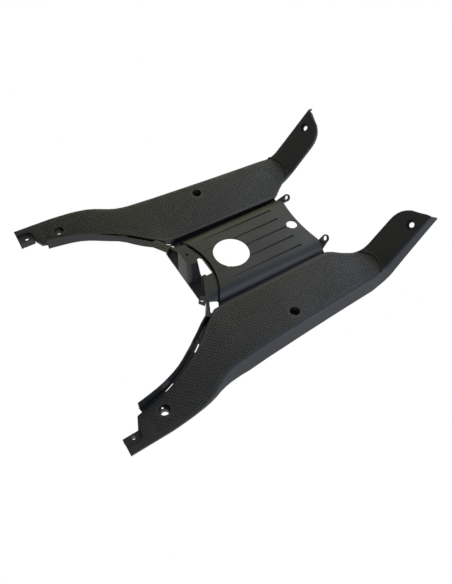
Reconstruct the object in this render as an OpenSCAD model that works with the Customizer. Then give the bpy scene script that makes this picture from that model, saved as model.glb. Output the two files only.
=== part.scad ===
// Scooter floorboard: two footboards with upturned front legs and long rear tails,
// joined by a low central bridge with a filler opening. One plastic moulding.
// +Z up, +Y forward, +X to the rider's right. Origin on the ground below the middle.

/* [Footboards] */
// width over the two tails, mm
overall_width = 442; // [430:1:460]
// thickness of the moulded sheet, mm
wall = 3; // [2.6:0.1:3.6]
// depth of the outer skirts below the footboards, mm
skirt_depth = 24; // [20:1:30]
// depth of the flange along the inner edges, mm
flange_depth = 6; // [5:0.5:8]
// slope of the front legs above level, degrees
leg_angle = 51.5; // [45:0.5:58]
// height of the rims beside the tails above the footboards, mm
rim_height = 9; // [6:0.5:12]

/* [Screw positions] */
// from a footboard's outer edge in to its screw, mm
deck_screw_inset = 26; // [18:0.5:40]
// from a leg's outer edge in to its screw, mm
leg_screw_inset = 19.5; // [16:0.5:24]
// from a tail's outer edge in to its recess, mm
tail_screw_inset = 31.4; // [24:0.2:34]

/* [Holes] */
// diameter of the filler opening, mm
filler_d = 62; // [50:0.5:68]
// diameter of the small round opening in front of it, mm
small_d = 19.5; // [12:0.5:22]
// clearance hole of the footboard screws, mm
deck_screw_d = 6.6; // [5:0.1:9]
// diameter of the screw recesses, mm
recess_d = 16.5; // [14:0.5:20]
// depth of the footboard screw recesses, mm
recess_depth = 8; // [5:0.5:10]
// clearance hole of the leg screws, mm
leg_screw_d = 9; // [6:0.5:10]
// hole in each tail recess, mm
tail_sleeve_d = 11; // [6:0.5:12]
// hole at each tail end, mm
tail_hole_d = 6; // [4:0.5:8]
// hole of the front ears, mm
ear_hole_d = 9; // [5:0.5:11]

/* [Bridge] */
// width of the grooves on the bridge, mm
groove_width = 3; // [2:0.5:4]
// depth of the grooves on the bridge at their front ends, mm
groove_depth = 1.9; // [0.9:0.1:2.2]
// height of the rear post above the footboards, mm
post_height = 44; // [30:1:60]
// width of the rear post, mm
post_width = 40; // [32:1:42]

/* [Hidden] */

rear_end = -315;
crest = 1;
deck_z = skirt_depth - crest;
// the tables below were measured at this width, and follow the overall width from it
drawn_width = 442;
widen = (overall_width - drawn_width) / 2;

// path of the footboard and leg seen from the side: level, a bend, then straight
bend_start = 161.5;
bend_r = 28;
bend_end = bend_start + bend_r * leg_angle * PI / 180;
leg_length = 98;
path_end = bend_end + leg_length;
// the lower edge of the skirt runs this far past the end of the leg
skirt_overrun = 4.3;
function overrun(s) = skirt_overrun * max(0, 1 - (path_end - s) / 12);

// tables along the path, each row [distance, value]
inner_x = [[rear_end, 194.5], [-292, 194], [-284, 176], [-276, 174.2], [-260, 171.1], [-244, 167.4],
    [-228, 162.9], [-212, 156.5], [-196, 149], [-180, 140], [-164, 129.7], [-147, 116.7], [-132, 103.3],
    [-115, 88], [-104, 80], [-92, 78.4], [0, 77.2], [112, 75.5], [124, 76.5], [129, 79], [135, 82.6],
    [141, 87.7], [148, 93], [155, 97.8], [161.5, 101.7], [170, 105], [178, 106.9], [187, 107.2]];
leg_inner_x = [[0, 107.2], [52, 106.8], [60.5, 107.6], [68, 109.6], [75, 113.2], [81, 118.5], [86.4, 125.5],
    [90, 133], [94, 142], [98, 150]];
inner_z = [[rear_end, -3.6], [-276, -3], [-244, -2.4], [-212, -1.6], [-180, -1.6], [-164, -1.9], [-147, -3],
    [-132, -3.4], [-115, -4.6], [-104, -6], [-92, -7.4], [-67, -8], [148, -8.2], [162, -6.8], [178, -5],
    [200, -4.2]];
leg_inner_z = [[0, -4.5], [60, -4], [75, -3.4], [86, -2.4], [94, -0.8], [98, 0]];
outer_x = [[rear_end, 221], [-250, 219.5], [-220, 216.5], [-205, 214], [-190, 210.5], [-175, 204.5],
    [-162, 197.5], [-150, 192], [-135, 187.5], [-120, 185], [-75, 181], [0, 176], [75, 171.5],
    [150, 168], [190, 163.5], [284, 160]];
widen_share = [[-200, 1], [-104, 0], [112, 0], [178, 1]];
skirt = [[rear_end, 0], [-215, 0], [-190, 0.08], [-170, 0.26], [-150, 0.62], [-130, 0.88], [-110, 1],
    [150, 1], [190, 0.72], [284, 0.5]];

function on_leg(s) = s > bend_end;
function edge_x(s) = widen * lookup(s, widen_share)
    + (on_leg(s) ? lookup(s - bend_end, leg_inner_x) : lookup(s, inner_x));
function edge_z(s) = on_leg(s) ? lookup(s - bend_end, leg_inner_z) : lookup(s, inner_z);
function fold_x(s) = lookup(s, outer_x) + widen;
function skirt_at(s) = wall + 1 + lookup(s, skirt) * (skirt_depth - wall - 1);
function fold_r(s) = min(8, 0.45 * skirt_at(s));

function path_angle(s) = min(leg_angle, max(0, (s - bend_start) / bend_r * 180 / PI));
function path_run(s) = max(0, s - bend_end);
function path_y(s) = min(s, bend_start) + bend_r * sin(path_angle(s)) + path_run(s) * cos(leg_angle);
function path_z(s) = bend_r * (1 - cos(path_angle(s))) + path_run(s) * sin(leg_angle);
function place(s, x, n) = [x, path_y(s) - n * sin(path_angle(s)), path_z(s) + n * cos(path_angle(s))];

// middle of the length, from the rear end to the foremost point of the legs' skirts
front_end = path_y(path_end + skirt_overrun) + (skirt_at(path_end) - crest) * sin(leg_angle);
mid_y = -(rear_end + front_end) / 2;

// height of the footboard's top surface over the path, at x
function top_n(s, x) = let (
        flat_end = fold_x(s) - fold_r(s),
        t = min(1, max(0, (x - edge_x(s)) / (flat_end - edge_x(s)))))
    edge_z(s) + (crest - edge_z(s)) * (1 - pow(1 - t, 1.3));

// closed outline of the footboard across the path: outer side first, then back along the inside
function board_loop(s) = let (
        xi = edge_x(s), xo = fold_x(s), r = fold_r(s), ri = max(0.4, r - wall),
        low = crest - skirt_at(s), flare = 6 * lookup(s, skirt), edge = 1.2, top_end = xo - r,
        arc = [90, 65, 40, 15],
        span = [for (k = [1:4]) xi + edge + (top_end - xi - edge) * k / 5],
        outer = concat(
            [[xi, edge_z(s) - flange_depth], [xi, edge_z(s) - edge], [xi + edge, top_n(s, xi + edge)]],
            [for (x = span) [x, top_n(s, x)]],
            [for (a = arc) [top_end + r * cos(a), crest - r + r * sin(a)]],
            [[xo + flare, low]]),
        inner = concat(
            [[xi + wall, edge_z(s) - flange_depth], [xi + wall, edge_z(s) - wall - 1],
                [xi + wall + 1, top_n(s, xi + wall + 1) - wall]],
            [for (x = span) [max(x, xi + wall + 2), top_n(s, x) - wall]],
            [for (a = arc) [xo - wall - ri + ri * cos(a), crest - wall - ri + ri * sin(a)]],
            [[xo + flare - wall, low]]))
    [for (p = concat(outer, [for (k = [len(inner) - 1:-1:0]) inner[k]]))
        place(s + (p[0] > top_end ? overrun(s) * (crest - p[1]) / (crest - low) : 0), p[0], p[1])];

// solid through a list of closed outlines, each with an even number of points, the far side in reverse
module loft(loops) {
    n = len(loops[0]);
    last = len(loops) - 1;
    sides = [for (i = [0:last - 1], j = [0:n - 1]) let (k = (j + 1) % n)
        each [[i * n + j, (i + 1) * n + k, i * n + k], [i * n + j, (i + 1) * n + j, (i + 1) * n + k]]];
    ends = [for (j = [0:n / 2 - 2]) each [
        [j, j + 1, n - 2 - j], [j, n - 2 - j, n - 1 - j],
        [last * n + j, last * n + n - 2 - j, last * n + j + 1],
        [last * n + j, last * n + n - 1 - j, last * n + n - 2 - j]]];
    polyhedron([for (loop = loops) each loop], concat(sides, ends));
}

module mirrored() {
    children();
    mirror([1, 0, 0]) children();
}

module board() {
    tail = [rear_end, -292, -284, -276];
    arc = [for (s = [-265:11:-110]) s];
    flat = [-104, -92, -75, -40, 0, 50, 100, 112, 124, 129, 135, 141, 148, 155];
    bend = [for (k = [0:5]) bend_start + (bend_end - bend_start) * k / 5];
    leg = [for (u = [26, 52, 60.5, 68, 75, 81, 86.4, 90, 94, 98]) bend_end + u];
    loft([for (s = concat(tail, arc, flat, bend, leg)) board_loop(s)]);
}

// raised arc where the tread ends at the foot of the leg
module foot_ridge() {
    inset = 3;
    half = (fold_x(170) - edge_x(170)) / 2 - inset;
    centre = (fold_x(170) + edge_x(170)) / 2;
    loft([for (k = [-6:6]) let (x = centre + half * k / 6, s = 181 - 11 * pow(k / 6, 2), h = top_n(s, x))
        [place(s + 2, x, h - 1), place(s + 1, x, h + 1.3), place(s - 1, x, h + 1.3), place(s - 2, x, h - 1)]]);
}

// point beside the concave edge: across toward the middle, and height
function beside(y, across, z) = let (
        d = [edge_x(y + 3) - edge_x(y - 3), 6], l = norm(d))
    [edge_x(y) - across * d[1] / l, y + across * d[0] / l, z];
function turn(y) = atan2(edge_x(y - 3) - edge_x(y + 3), 6);

rim_wall = 2.4;
ledge_drop = 3.6;
rim_reach = [[-275, 7.9], [-228, 6.6], [-185, 5.9], [-155, 5.5], [-122, 3.5], [-112, 2.7]];
rim_share = [[-275, 1], [-228, 0.9], [-205, 0.62], [-185, 0.38], [-155, 0.2], [-122, 0.06], [-110, 0]];

// gutter and upright rim along the concave edge of a tail, highest at the rear
module rim() {
    loft([for (y = concat([for (v = [-275:11:-121]) v], [-111]))
        let (z = edge_z(y), out = lookup(y, rim_reach), top = z + rim_height * lookup(y, rim_share)) [
            beside(y, -1.5, z - flange_depth + 0.3), beside(y, out, z - flange_depth + 0.3),
            beside(y, out, top), beside(y, out - rim_wall, top),
            beside(y, out - rim_wall, z - ledge_drop), beside(y, -1.5, z - ledge_drop)]]);
}

slot_long = 15.5;
slot_wide = 3.4;

module rim_slots() {
    for (y = [-160.3, -225.8])
        translate(beside(y, 1.6, edge_z(y)))
            rotate([0, 0, turn(y)])
                translate([-slot_wide / 2, -slot_long / 2, -flange_depth - 1])
                    cube([slot_wide, slot_long, flange_depth + 4]);
}

bridge_front = 119;
bridge_rear = -106;
roll_start = 48;
roll_r = 25.4;
roll_angle = 60;
valley_x = 79;
valley_z = -roll_r * (1 - cos(roll_angle));
lip_r = 118;
lip_y = -64.3;
lip_depth = 6.2;
lip_gap = 2.6;
shelf_drop = 3.3;
plate_z = -3;
plate_rear = -113.7;
plate_half = 52.6;
tab_hole = [61.6, -114.6];
tab_top = 3.2;
post_lean = 8.6;
filler_y = -20.8;
small_y = 105.5;

// cross-section of the bridge, lowered by drop
module bridge_section(drop, thick = wall) {
    steps = 8;
    inner_r = roll_r - thick;
    outer = [for (k = [0:steps]) let (a = roll_angle * k / steps)
        [roll_start + roll_r * sin(a), -roll_r * (1 - cos(a)) - drop]];
    inner = [for (k = [steps:-1:0]) let (a = roll_angle * k / steps)
        [roll_start + inner_r * sin(a), -roll_r + inner_r * cos(a) - drop]];
    right = concat(outer, [[valley_x, valley_z - drop], [valley_x, valley_z - thick - drop],
        [inner[0][0] - 0.5, valley_z - thick - drop]], inner);
    polygon(concat(right, [for (k = [len(right) - 1:-1:0]) [-right[k][0], right[k][1]]]));
}

module along_y(from, to) {
    translate([0, to, 0]) rotate([90, 0, 0]) linear_extrude(to - from) children();
}

module disc(r, y, z0, z1) {
    translate([0, y, z0]) cylinder(r = r, h = z1 - z0, $fn = 180);
}

// part of the bridge's width between two arcs that run with the lip, from inset a to inset b
module lip_ring(a, b) {
    intersection() {
        children();
        difference() {
            disc(lip_r - a, lip_y - lip_r, -40, 20);
            disc(lip_r - b, lip_y - lip_r, -41, 21);
        }
        translate([-79, -150, -40]) cube([158, 100, 60]);
    }
}

// straight ribs from the post's sides to the rims, with their upper face level
band_wide = 5.2;
band_slope = -0.476;
band_to = 90;
band_y = -86.1;
function band_line(x, across) =
    [x, band_y + band_slope * (x - 22) + across * sqrt(1 + band_slope * band_slope)];

module band() {
    half = band_wide / 2;
    translate([0, 0, valley_z - 1])
        linear_extrude(-valley_z + 1)
            polygon([band_line(17, half), band_line(17, -half), band_line(66, -half), band_line(66, half)]);
    level = edge_z(-116);
    thin = half - 0.1;
    low = level - 11;
    loft([for (x = [60, 77, band_to])
        let (h = min(-0.2, level * (x - 64) / (band_to - 64)), a = band_line(x, thin), b = band_line(x, -thin))
        [[b[0], b[1], low], [a[0], a[1], low], [a[0], a[1], h], [b[0], b[1], h]]]);
}

module bridge() {
    front_r = 252;
    difference() {
        union() {
            along_y(bridge_rear, bridge_front + 5) bridge_section(0);
            lip_ring(-2.4, 3) along_y(-130, lip_y + 4) bridge_section(1, lip_depth + 1);
        }
        disc(front_r, bridge_front + front_r, -40, 20);
        disc(lip_r, lip_y - lip_r, -40, 20);
    }
    // floor of the narrow channel at the foot of the lip
    lip_ring(-1, lip_gap + 1.5) along_y(-130, lip_y + 4) bridge_section(lip_depth, 2.2);
    // shelf behind the channel
    difference() {
        intersection() {
            along_y(-125, lip_y) bridge_section(shelf_drop);
            disc(lip_r - lip_gap, lip_y - lip_r, -40, 20);
        }
        for (m = [-1, 1])
            translate([0, 0, -41])
                linear_extrude(70)
                    polygon([for (p = [[0, -200], band_line(0, 0), band_line(90, 0), [90, -200]])
                        [m * p[0], p[1]]]);
    }
}

// window between the lip and the post
module window() {
    translate([0, 0, -20])
        linear_extrude(30)
            polygon([[-19.3, -71.3], [-17.5, -68.4], [17.5, -68.4], [19.3, -71.3], [19.6, -82], [16.6, -88.3],
                [-16.6, -88.3], [-19.6, -82]]);
}

// flat plate that carries the post, with a small tab at each end
module plate() {
    half = [band_line(17, 0), band_line(60, 0), [plate_half, plate_rear]];
    translate([0, 0, plate_z - wall])
        linear_extrude(wall)
            polygon(concat(half, [for (k = [len(half) - 1:-1:0]) [-half[k][0], half[k][1]]]));
    translate([0.5 - plate_half, plate_rear + 0.2, plate_z - 9]) cube([2 * plate_half - 1, 2.5, 8]);
}

// raised tab at each end of the plate, and the web that carries it
module tab() {
    translate([0, 0, tab_top - wall])
        linear_extrude(wall) polygon([[52.8, -113.6], [62.8, -122], [71.8, -115.6], [60.4, -105.6]]);
    translate([0, 0, plate_z - wall])
        linear_extrude(tab_top - plate_z + wall - 0.2)
            polygon([[52.4, -113.5], [54.6, -115.2], [62, -106.6], [58.6, -104.4]]);
}

// upright post with a rounded rear and a sloping front, hollow from below
module post_shape(inset, top) {
    rear = plate_rear - 0.7 + inset;
    front = -97.3 - inset;
    half = post_width / 2 - inset;
    bottom = plate_z - 1;
    rear_r = 9 - inset;
    front_r = 2.7;
    hull()
        for (m = [-1, 1]) {
            translate([m * (half - rear_r), rear + rear_r, bottom])
                cylinder(r = rear_r, h = top - bottom, $fn = 72);
            translate([m * (half - front_r), front - front_r, bottom])
                cylinder(r = front_r, h = top - bottom, $fn = 32);
            translate([m * (half - front_r), front - front_r + (top - bottom) * tan(post_lean), bottom])
                cylinder(r = front_r, h = 1, $fn = 32);
        }
}

module post() {
    difference() {
        post_shape(0, post_height);
        translate([0, 0, -wall]) post_shape(2.6, post_height);
        translate([0, plate_rear + 8.2, post_height - 6]) cylinder(d = 4.2, h = 10, $fn = 32);
    }
}

// lug in front of each rolled edge
ear_at = [56.7, 134.6, 1.6];
ear_lean = 60;
ear_rim = 2.2;

module ear() {
    hull() {
        translate(ear_at) rotate([ear_lean, 0, 0])
            translate([0, 0, -wall]) cylinder(r = ear_hole_d / 2 + ear_rim, h = wall, $fn = 64);
        translate([52.5, 122.5, -5]) cube([3, 3, 3]);
        translate([64, 122, -10.5]) cube([3, 3, 3]);
    }
}

module ear_hole() {
    translate(ear_at) rotate([ear_lean, 0, 0])
        translate([0, 0, -10]) cylinder(d = ear_hole_d, h = 20, $fn = 64);
}

// cup under a screw recess
module cup(d, depth) {
    translate([0, 0, -depth - wall]) cylinder(d = d + 5, h = depth + wall - 1.5, $fn = 64);
}

module recess(d, depth, hole) {
    translate([0, 0, -depth]) cylinder(d = d, h = depth + 12, $fn = 64);
    translate([0, 0, -depth - wall - 5]) cylinder(d = hole, h = 20, $fn = 64);
}

tail_y = -249;
tail_recess_depth = 6;
tail_peg_d = 3.4;
leg_u = 70;
leg_recess_depth = 4;
deck_screw_x = fold_x(0) - deck_screw_inset;
tail_screw_x = fold_x(tail_y) - tail_screw_inset;

module at_leg_screw() {
    s = bend_end + leg_u;
    x = fold_x(s) - leg_screw_inset;
    translate(place(s, x, top_n(s, x))) rotate([leg_angle, 0, 0]) children();
}

module under_ribs() {
    low = -16;
    for (y = [-75, 60, 110]) {
        from = valley_x;
        to = fold_x(y) - wall - 2;
        along_y(y - 1.2, y + 1.2)
            polygon(concat(
                [for (k = [0:4]) let (x = from + (to - from) * k / 4) [x, top_n(y, x) - wall / 2]],
                [[to + 2, 3 + low], [to - 16, low], [from, low]]));
    }
    middle = (edge_x(0) + fold_x(0)) / 2;
    translate([middle - 5, -105, low + 1]) cube([2.4, 250, 9.5]);
}

tab_z = -4.4;
tail_hole = [fold_x(rear_end) - 21.6, -301.4];

// lowered pad with its flange at the end of a tail
module tail_pad() {
    inner = edge_x(rear_end) + 0.3;
    reach = fold_x(rear_end) - 4.5 - inner;
    translate([inner, rear_end + 0.2, tab_z - wall]) cube([reach, 27, wall + 1.2]);
    translate([inner, rear_end + 0.2, tab_z - 13]) cube([wall, 24, 14]);
}

module tail_pocket() {
    translate([tail_hole[0], tail_hole[1], tab_z]) {
        cylinder(r = 11.5, h = 12, $fn = 64);
        translate([-14, -18, 0]) cube([14, 29.5, 12]);
        translate([-2, -18, 0]) cube([13.5, 18, 12]);
    }
}

module side() {
    difference() {
        union() {
            board();
            foot_ridge();
            rim();
            ear();
            under_ribs();
            tail_pad();
            translate([deck_screw_x, 0, 0]) cup(recess_d, recess_depth);
            translate([tail_screw_x, tail_y, 0]) cup(recess_d, tail_recess_depth);
            at_leg_screw() cup(recess_d - 1, leg_recess_depth);
        }
        translate([deck_screw_x, 0, 0]) recess(recess_d, recess_depth, deck_screw_d);
        translate([tail_screw_x, tail_y, -20]) {
            translate([0, 0, 20 - tail_recess_depth]) cylinder(d = recess_d, h = 18, $fn = 64);
            translate([2, -0.9, 0]) cylinder(d = tail_sleeve_d, h = 25, $fn = 64);
            translate([-6.1, -0.3, 0]) cylinder(d = tail_peg_d, h = 25, $fn = 32);
        }
        at_leg_screw() recess(recess_d - 1, leg_recess_depth, leg_screw_d);
        tail_pocket();
        translate([tail_hole[0], tail_hole[1], -30]) cylinder(d = tail_hole_d, h = 40, $fn = 64);
        rim_slots();
        ear_hole();
    }
}

// grooves that get deeper toward their front ends, each row [x, front end, length]
module grooves() {
    for (g = [[-46, 91.5, 142], [-23, 91.5, 151], [0, small_y, small_y - filler_y], [23, 91.5, 151],
        [46, 91.5, 142]])
        translate([g[0] - groove_width / 2, g[1], -groove_depth])
            rotate([-0.5, 0, 0]) translate([0, -g[2], 0]) cube([groove_width, g[2], 5]);
}

// open corner between the shelf, the band and the footboard
module corner_hole() {
    translate([0, 0, -40])
        linear_extrude(60)
            polygon([[61.8, -102.4], [63, -98], [65.5, -87], [74, -90.5], [78, -94], [79.3, -104], [83.2, -110],
                [82.2, -111.3]]);
}

module floorboard() {
    color("#2b2b29")
        translate([0, mid_y, deck_z])
            difference() {
                union() {
                    mirrored() side();
                    mirrored() band();
                    mirrored() tab();
                    bridge();
                    plate();
                    post();
                }
                disc(filler_d / 2, filler_y, -40, 20);
                disc(small_d / 2, small_y, -40, 20);
                grooves();
                window();
                mirrored() corner_hole();
                mirrored() translate([tab_hole[0], tab_hole[1], -20]) cylinder(d = 5.5, h = 30, $fn = 32);
            }
}

floorboard();
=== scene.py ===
"""Looks of a scooter floorboard, one moulding of black polypropylene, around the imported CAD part."""

import math

import bpy
import bmesh
from mathutils import Matrix, Vector
from mathutils.bvhtree import BVHTree


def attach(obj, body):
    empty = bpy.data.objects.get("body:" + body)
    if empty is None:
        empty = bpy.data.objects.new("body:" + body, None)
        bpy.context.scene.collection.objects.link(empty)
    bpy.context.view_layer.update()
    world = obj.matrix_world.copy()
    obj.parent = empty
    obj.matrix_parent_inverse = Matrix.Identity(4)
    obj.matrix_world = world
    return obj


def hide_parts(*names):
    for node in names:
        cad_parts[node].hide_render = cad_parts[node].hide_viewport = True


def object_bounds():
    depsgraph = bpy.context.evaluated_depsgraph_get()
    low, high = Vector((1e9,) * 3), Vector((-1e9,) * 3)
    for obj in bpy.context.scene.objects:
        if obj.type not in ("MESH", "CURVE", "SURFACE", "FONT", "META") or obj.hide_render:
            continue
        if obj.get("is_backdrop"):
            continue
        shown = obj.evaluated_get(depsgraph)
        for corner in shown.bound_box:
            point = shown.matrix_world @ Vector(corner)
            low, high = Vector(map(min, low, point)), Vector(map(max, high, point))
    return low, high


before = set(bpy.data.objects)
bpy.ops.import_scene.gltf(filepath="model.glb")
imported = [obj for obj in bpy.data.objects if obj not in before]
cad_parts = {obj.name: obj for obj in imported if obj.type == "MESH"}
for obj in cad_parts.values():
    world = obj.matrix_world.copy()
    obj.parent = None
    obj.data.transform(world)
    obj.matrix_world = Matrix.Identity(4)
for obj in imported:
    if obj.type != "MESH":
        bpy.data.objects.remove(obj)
cad_low, cad_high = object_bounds()

# Camera. The photograph looks down on the part from its rear right, along a diagonal.
# The lens and place are the ones at which the screws, holes and corners line up with it.
camera_lens = 31.69
camera_sensor = 36
camera_place = (0.4484, -0.3215, 0.6840)
camera_right = Vector((0.53413591, 0.84421009, 0.04481237))
camera_up = Vector((-0.70184288, 0.4132613, 0.58019969))

camera_data = bpy.data.cameras.new("camera")
camera_data.sensor_fit = "VERTICAL"
camera_data.sensor_height = camera_sensor
camera_data.lens = camera_lens
camera = bpy.data.objects.new("camera", camera_data)
bpy.context.collection.objects.link(camera)
camera_axes = Matrix((camera_right, camera_up, camera_right.cross(camera_up))).transposed()
camera.matrix_world = Matrix.Translation(camera_place) @ camera_axes.to_4x4()
bpy.context.scene.camera = camera

# Moulding. The whole part is one shot of carbon-black polypropylene, about 3 mm thick.
# The footboards, tails, rims, legs and post come from an etched part of the mould and have a fine
# grain. The bridge comes from a plain machined part of it and is smoother.
edge_softness = 0.0006

# The surface is a little glossier in some places and duller in others, in patches this wide.
patch_mm = 35.7
glossier, duller = 0.04, 0.05
noise_low, noise_high = 0.3, 0.7


def linear(hex_colour):
    """sRGB hex colour as the linear RGBA that Blender's nodes take."""
    values = [int(hex_colour[k : k + 2], 16) / 255 for k in (1, 3, 5)]
    return [v / 12.92 if v <= 0.04045 else ((v + 0.055) / 1.055) ** 2.4 for v in values] + [1.0]


def node(tree, kind, settings=None, links=None):
    """Adds one node, sets its properties and sockets, and links sockets to others' outputs."""
    made = tree.nodes.new(kind)
    for name, value in (settings or {}).items():
        if isinstance(name, str) and hasattr(made, name):
            setattr(made, name, value)
        else:
            made.inputs[name].default_value = value
    for name, output in (links or {}).items():
        tree.links.new(output, made.inputs[name])
    return made


def noise_scale(width_mm):
    """Scale of a noise whose bumps are about this wide, in mm, on coordinates in metres."""
    return 1000 / width_mm / 2


def polypropylene(name, colour, roughness, grain_mm, grain_depth):
    """Dull black plastic: a soft sheen, edges rounded by the mould, and the mould's own grain."""
    made = bpy.data.materials.new(name)
    made.use_nodes = True
    tree = made.node_tree
    tree.nodes.clear()
    place = node(tree, "ShaderNodeTexCoord").outputs["Object"]
    grain = node(
        tree,
        "ShaderNodeTexNoise",
        {"Scale": noise_scale(grain_mm), "Detail": 2.0},
        {"Vector": place},
    )
    flow = node(
        tree,
        "ShaderNodeTexNoise",
        {"Scale": noise_scale(patch_mm), "Detail": 3.0},
        {"Vector": place},
    )
    dullness = node(
        tree,
        "ShaderNodeMapRange",
        {
            "From Min": noise_low,
            "From Max": noise_high,
            "To Min": roughness - glossier,
            "To Max": roughness + duller,
        },
        {"Value": flow.outputs["Fac"]},
    )
    rounded = node(tree, "ShaderNodeBevel", {"Radius": edge_softness, "samples": 4})
    bump = node(
        tree,
        "ShaderNodeBump",
        {"Strength": 1.0, "Distance": grain_depth},
        {"Height": grain.outputs["Fac"], "Normal": rounded.outputs["Normal"]},
    )
    shader = node(
        tree,
        "ShaderNodeBsdfPrincipled",
        {"Base Color": linear(colour), "IOR": 1.49},
        {"Normal": bump.outputs["Normal"], "Roughness": dullness.outputs["Result"]},
    )
    node(tree, "ShaderNodeOutputMaterial", links={"Surface": shader.outputs["BSDF"]})
    return made


# The etched grain scatters the light, so the footboards are an even charcoal with no sharp
# highlight. The plain surface is a touch darker, with a slightly closer sheen and hardly any grain.
# The mould's grain is too fine to show at this distance, so it is drawn 1.2 and 2.5 mm wide.
grained = polypropylene("grained_polypropylene", "#161617", 0.54, 1.2, 0.00008)
smooth = polypropylene("smooth_polypropylene", "#151515", 0.51, 2.5, 0.00003)

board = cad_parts["floorboard"]
shell = bmesh.new()
shell.from_mesh(board.data)
bmesh.ops.remove_doubles(shell, verts=shell.verts, dist=0.000002)

# The crest of the footboards and the line of their screws, in metres. The sizes after them are in
# mm from there: across from the middle plane, along to the front, and height from the crest.
deck_z = 0.023
mid_y = cad_low.y + 0.315

# The rims beside the tails stand higher than in the plain solid, lean away from the board and are
# thinner at the top, and the gutter between them and the board is deeper. Each table gives a size
# at places along the board: the concave edge's distance from the middle, the board's height
# there, the rim's distance from the edge, its lean and added height, and the gutter's added depth.
concave_edge = (
    (-284, 176.0),
    (-276, 174.2),
    (-260, 171.1),
    (-244, 167.4),
    (-228, 162.9),
    (-212, 156.5),
    (-196, 149.0),
    (-180, 140.0),
    (-164, 129.7),
    (-147, 116.7),
    (-132, 103.3),
    (-115, 88.0),
    (-110, 84.0),
)
board_edge = (
    (-284, -3.6),
    (-244, -2.4),
    (-212, -1.6),
    (-180, -1.6),
    (-147, -3.0),
    (-115, -4.6),
    (-104, -6.0),
)
rim_reach = ((-275, 7.9), (-228, 6.6), (-185, 5.9), (-155, 5.5), (-122, 3.5), (-112, 2.7))
rim_lean = (
    (-277, 0.8),
    (-240, 1.1),
    (-205, 1.6),
    (-180, 3.9),
    (-160, 5.0),
    (-135, 5.4),
    (-122, 4.7),
    (-111, 3.0),
)
rim_lift = (
    (-277, 5.0),
    (-240, 3.6),
    (-200, 3.6),
    (-160, 4.2),
    (-135, 3.6),
    (-122, 2.2),
    (-111, 0.8),
)
gutter_drop = ((-216, 2.2), (-205, 4.0), (-183, 4.0), (-170, 2.2), (-152, 2.2), (-143, 6.5))
rim_rear, rim_front = -277, -111
rim_wall = 2.4
rim_taper = 1.3
rim_margin = 0.8
edge_margin = 0.5
lean_start = 0.3
slope_span = 3
gutter_depth = 3.6
gutter_margin = 0.4
gutter_wall = 1.4
skirt_depth = 5.7
skirt_margin = 0.45


def between(table, at):
    """Value of a table of (place, value) pairs at a place, on straight lines between its pairs."""
    if at <= table[0][0]:
        return table[0][1]
    for (from_place, from_value), (to_place, to_value) in zip(table, table[1:]):
        if at <= to_place:
            return from_value + (to_value - from_value) * (at - from_place) / (to_place - from_place)
    return table[-1][1]


def edge_slope(along):
    """Slope of the concave edge at a place, and the length of a step of 1 mm along with it."""
    ahead = between(concave_edge, along + slope_span)
    behind = between(concave_edge, along - slope_span)
    slope = (ahead - behind) / (2 * slope_span)
    return slope, math.hypot(1, slope)


def drawn_rim(across, along, height):
    """Where the mould has a place of the solid's rim or gutter. Any other place stays."""
    slope, steep = edge_slope(along)
    beyond = (between(concave_edge, along) - across) / steep
    reach = between(rim_reach, along)
    if not (rim_rear < along < rim_front and -edge_margin < beyond < reach + rim_margin):
        return across, along, height
    rise = height - between(board_edge, along)
    if rise > -edge_margin and beyond > edge_margin:
        height += between(rim_lift, along)
        lean = between(rim_lean, along) + (rim_taper if beyond < reach - rim_wall / 2 else 0)
    else:
        lean = between(rim_lean, along) * min(1, max(0, beyond - lean_start))
    if abs(rise + gutter_depth) < gutter_margin:
        height -= between(gutter_drop, along)
    if abs(rise + skirt_depth) < skirt_margin:
        height -= between(gutter_drop, along) - gutter_wall
    return across - lean / steep, along + lean * slope / steep, height


# The channel beside each rolled edge of the bridge, the foot of the roll, the footboards' screw
# recesses and the sleeves in the tails are deeper, and the plate under the post falls to the rear.
# What lies between a low and a top height moves, and no other surface above or below it.
bridge_half = 79.5
channel_rear, channel_front = -95, 122
channel_inner = 71
channel_top = -12.7
channel_drop = 5.0
sheet = 3
roll_foot = 60.0
roll_low, roll_top = -17, -3
roll_run = 10
roll_fall = 3.0
recess_across = 150
recess_reach = 11
recess_low, recess_top = -11.2, -7.8
sleeve_across, sleeve_along = 190, -249.9
sleeve_reach = 5.6
sleeve_top = -8.5
screw_drop = 7.0
plate_half = 52.7
plate_front = -96
plate_low, plate_top = -6.5, -2.9
plate_run = 17
plate_fall = 5.0
same_height = 0.05


def extra_drop(across, along, height):
    """How much lower the mould has a place of the bridge, a recess or the plate, in mm."""
    if channel_rear < along < channel_front:
        if channel_inner < across < bridge_half:
            above_floor = abs(height - channel_top)
            above_underside = abs(height - channel_top + sheet)
            return channel_drop if min(above_floor, above_underside) < same_height else 0
        if roll_foot < across < channel_inner and roll_low < height < roll_top:
            return roll_fall * ((across - roll_foot) / roll_run) ** 2
    if math.hypot(across - recess_across, along) < recess_reach and recess_low < height < recess_top:
        return screw_drop
    if math.hypot(across - sleeve_across, along - sleeve_along) < sleeve_reach and height < sleeve_top:
        return screw_drop
    if across < plate_half and along < plate_front and plate_low < height < plate_top:
        return plate_fall * min(1, (plate_front - along) / plate_run)
    return 0


for vert in shell.verts:
    side = 1 if vert.co.x > 0 else -1
    across = abs(vert.co.x) * 1000
    along = (vert.co.y - mid_y) * 1000
    height = (vert.co.z - deck_z) * 1000
    across, along, height = drawn_rim(across, along, height)
    height -= extra_drop(across, along, height)
    vert.co = Vector((side * across, along, height)) / 1000 + Vector((0, mid_y, deck_z))

# The floor of the gutter carries on between each slot and the foot of the leaning rim.
slots_at = (-160.3, -225.8)
slot_long = 15.5
slot_reach = 3.3
floor_sheet = 0.8
floor_lap = 0.3
floor_end_lap = 1

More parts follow.
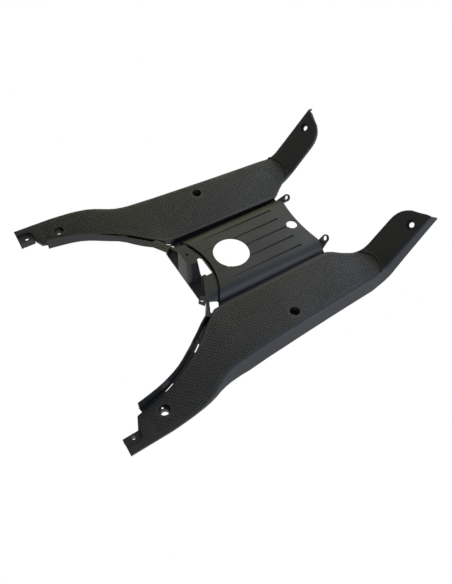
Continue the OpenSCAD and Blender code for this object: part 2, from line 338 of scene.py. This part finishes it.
for along in slots_at:
    slope, steep = edge_slope(along)
    width = between(rim_lean, along) + 2 * floor_lap
    beyond = slot_reach + width / 2 - floor_lap
    low = between(board_edge, along) - gutter_depth - between(gutter_drop, along) - floor_sheet / 2
    for side in (1, -1):
        across = between(concave_edge, along) - beyond / steep
        place = Vector((side * across, along + beyond * slope / steep, low)) / 1000
        place += Vector((0, mid_y, deck_z))
        turned = Matrix.Rotation(-side * math.atan(slope), 4, "Z")
        long = slot_long + 2 * floor_end_lap
        size = Matrix.Diagonal((width / 1000, long / 1000, floor_sheet / 1000, 1))
        bmesh.ops.create_cube(shell, size=1, matrix=Matrix.Translation(place) @ turned @ size)

# The small chamfer along the inner edge of each footboard and tail is nearly square, so its lower
# side rises. Its faces turn to the middle and upward, and none is far below the crest. No limit
# keeps the rule off the legs, so like faces at their upper ends, also round the screw holes
# there, rise by the same 0.9 mm. These sizes are in metres.
chamfer_lift = 0.0009
chamfer_across = 0.074
chamfer_depth = 0.009
chamfer_step = 0.0005
chamfer_steepest, chamfer_flattest = -0.85, -0.5
chamfer_upward = 0.5

raised = set()
for face in shell.faces:
    side = 1 if face.verts[0].co.x > 0 else -1
    turned_in = chamfer_steepest < face.normal.x * side < chamfer_flattest
    turned_up = face.normal.z > chamfer_upward
    top = max(vert.co.z for vert in face.verts)
    high_enough = abs(face.verts[0].co.x) > chamfer_across and top > deck_z - chamfer_depth
    if turned_in and turned_up and high_enough:
        raised.update(vert for vert in face.verts if vert.co.z < top - chamfer_step)
for vert in raised:
    vert.co.z += chamfer_lift
shell.normal_update()

# The bridge gets the smooth finish, and the post that stands at its rear end keeps the grain.
bridge_rear, bridge_front = -130, 125
post_front = -85
post_half = 22
post_foot = 2
sharp_edge = math.radians(32)

for face in shell.faces:
    middle = face.calc_center_median()
    across = abs(middle.x) * 1000
    along = (middle.y - mid_y) * 1000
    height = (middle.z - deck_z) * 1000
    on_post = along < post_front and height > post_foot and across < post_half
    on_bridge = across < bridge_half and bridge_rear < along < bridge_front and not on_post
    face.material_index = 1 if on_bridge else 0
    face.smooth = True
for edge in shell.edges:
    edge.smooth = len(edge.link_faces) == 2 and edge.calc_face_angle() < sharp_edge
mesh = bpy.data.meshes.new("floorboard_moulding")
shell.to_mesh(mesh)
mesh.materials.append(grained)
mesh.materials.append(smooth)
moulding = bpy.data.objects.new("floorboard_moulding", mesh)
bpy.context.collection.objects.link(moulding)
weighted = moulding.modifiers.new("weighted_normals", "WEIGHTED_NORMAL")
weighted.keep_sharp = True
weighted.weight = 70
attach(moulding, "root")
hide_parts("floorboard")

# Tread. Short raised bars that lean to the left and right in turn give grip under the shoes.
# They are moulded with the footboards, and cover their even top up to a plain border, from the
# tail to just past the start of the bend into the leg. Sizes are in metres.
bar_pitch = 0.0035
bar_long = 0.0038
bar_wide = 0.002
bar_high = 0.0007
bar_sunk = 0.0003
bar_sides = 6
bar_top = 0.72
bar_lean = 45
plain_border = 0.004
tread_rear, tread_front = -0.271, 0.168
tread_inner, tread_outer = 0.07, 0.215
bend_start = 0.1615
bend_r = 0.028
leg_angle = math.radians(51.5)
ray_start = 0.03
ray_length = 0.045
steady_normal = 0.97
level_step = 0.0009
directions = [math.radians(45 * turn) for turn in range(8)]

# The bars' tops come from polished cuts in the mould, so they are glossier than the board. The bars
# are also coloured lighter than the board as a painted highlight, so each gives the eye a small glint
# that breaks the footboards' dull charcoal.
tread_gloss_and_painted_glint = polypropylene("tread_polypropylene", "#262627", 0.34, 1.2, 0.00002)
surface = BVHTree.FromBMesh(shell)


def footboard(distance, across):
    """Spot and normal of the footboard's top at a distance along its path, or None off the even part."""
    turned = min(leg_angle, max(0.0, (distance - bend_start) / bend_r))
    up = Vector((0, -math.sin(turned), math.cos(turned)))
    base = Vector((across, min(distance, bend_start) + mid_y, bend_r + deck_z)) - up * bend_r
    spot, normal = surface.ray_cast(base + up * ray_start, -up, ray_length)[:2]
    if spot is None or normal.dot(up) < steady_normal:
        return None
    return spot, normal


def is_inside(distance, across, spot, normal):
    """Whether the top is level for the width of the plain border on every side of a spot."""
    beside = [
        footboard(distance + plain_border * math.sin(turn), across + plain_border * math.cos(turn))
        for turn in directions
    ]
    return all(near and abs((near[0] - spot).dot(normal)) < level_step for near in beside)


def add_bar(strip, spot, normal, lean):
    """Adds one bar to a strip of them, standing on a spot and turned by an angle about its normal."""
    along = Matrix.Rotation(lean, 3, normal) @ normal.cross(Vector((1, 0, 0))).normalized()
    axes = Matrix((along, normal.cross(along), normal)).transposed().to_4x4()
    centre = Matrix.Translation(spot + normal * (bar_high - bar_sunk) / 2)
    bmesh.ops.create_cone(
        strip,
        cap_ends=True,
        segments=bar_sides,
        radius1=1,
        radius2=bar_top,
        depth=bar_high + bar_sunk,
        matrix=centre @ axes @ Matrix.Diagonal((bar_long / 2, bar_wide / 2, 1, 1)),
    )


# Each row of bars is a mesh of its own at first, because adding to a large one is slow.
for hand, side in (("right", 1), ("left", -1)):
    tread = bmesh.new()
    for row in range(int((tread_front - tread_rear) / bar_pitch)):
        strip = bmesh.new()
        distance = tread_rear + row * bar_pitch
        for column in range(int(tread_inner / bar_pitch), int(tread_outer / bar_pitch)):
            across = side * column * bar_pitch
            found = footboard(distance, across)
            if found and is_inside(distance, across, *found):
                lean = math.radians(bar_lean if (row + column) % 2 else -bar_lean) * side
                add_bar(strip, *found, lean)
        strip_mesh = bpy.data.meshes.new("strip")
        strip.to_mesh(strip_mesh)
        tread.from_mesh(strip_mesh)
        bpy.data.meshes.remove(strip_mesh)
    tread_mesh = bpy.data.meshes.new("tread_" + hand)
    tread.to_mesh(tread_mesh)
    tread_mesh.materials.append(tread_gloss_and_painted_glint)
    bars = bpy.data.objects.new("tread_" + hand, tread_mesh)
    bpy.context.collection.objects.link(bars)
    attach(bars, "root")
    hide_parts("floorboard")

# Studio. The part lies on a wide sheet of white paper, lit by four softboxes: a large one ahead of
# it, a warm one at its left, a small low one behind it, and a large cool one low at its right.
# Seen by the camera or in the plastic's sheen the paper is evenly white, and otherwise it is matt.
paper_width = 12
room_light = 0.26
softbox_distance = 1.8

bpy.ops.mesh.primitive_plane_add(size=paper_width)
floor = bpy.context.object
floor.name = "studio_floor"
paper = bpy.data.materials.new("white_paper")
paper.use_nodes = True
tree = paper.node_tree
tree.nodes.clear()
matt = node(tree, "ShaderNodeBsdfDiffuse", {"Color": linear("#f4f4f4")})
glow = node(tree, "ShaderNodeEmission", {"Color": (1, 1, 1, 1), "Strength": 1.0})
rays = node(tree, "ShaderNodeLightPath")
seen = node(
    tree,
    "ShaderNodeMath",
    {"operation": "MAXIMUM"},
    {0: rays.outputs["Is Camera Ray"], 1: rays.outputs["Is Glossy Ray"]},
)
mix = node(
    tree,
    "ShaderNodeMixShader",
    links={0: seen.outputs["Value"], 1: matt.outputs["BSDF"], 2: glow.outputs["Emission"]},
)
node(tree, "ShaderNodeOutputMaterial", links={"Surface": mix.outputs["Shader"]})
floor.data.materials.append(paper)
floor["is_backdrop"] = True

world = bpy.data.worlds.new("studio")
bpy.context.scene.world = world
world.use_nodes = True
world.node_tree.nodes["Background"].inputs["Color"].default_value = (1, 1, 1, 1)
world.node_tree.nodes["Background"].inputs["Strength"].default_value = room_light


def softbox(name, direction, size, radiance, colour):
    """Square lamp that faces the part from a direction, with a given brightness of its face."""
    data = bpy.data.lights.new(name, "AREA")
    data.shape = "SQUARE"
    data.size = size
    data.energy = radiance * math.pi * size * size
    data.color = linear(colour)[:3]
    light = bpy.data.objects.new(name, data)
    bpy.context.collection.objects.link(light)
    light.location = Vector(direction).normalized() * softbox_distance
    light.rotation_euler = Vector(direction).to_track_quat("Z", "Y").to_euler()


softbox("front_softbox", (-0.2, 0.78, 0.62), 1.5, 2.8, "#e6efff")
softbox("left_softbox", (-0.78, 0.34, 0.56), 1.1, 2.1, "#f6f0ae")
softbox("rear_softbox", (-0.5, -0.84, 0.2), 0.7, 1.2, "#f4f0cc")
softbox("side_softbox", (0.88, 0.34, 0.28), 1.6, 3.9, "#d4e6ff")

bpy.context.scene.view_settings.view_transform = "Standard"
low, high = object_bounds()
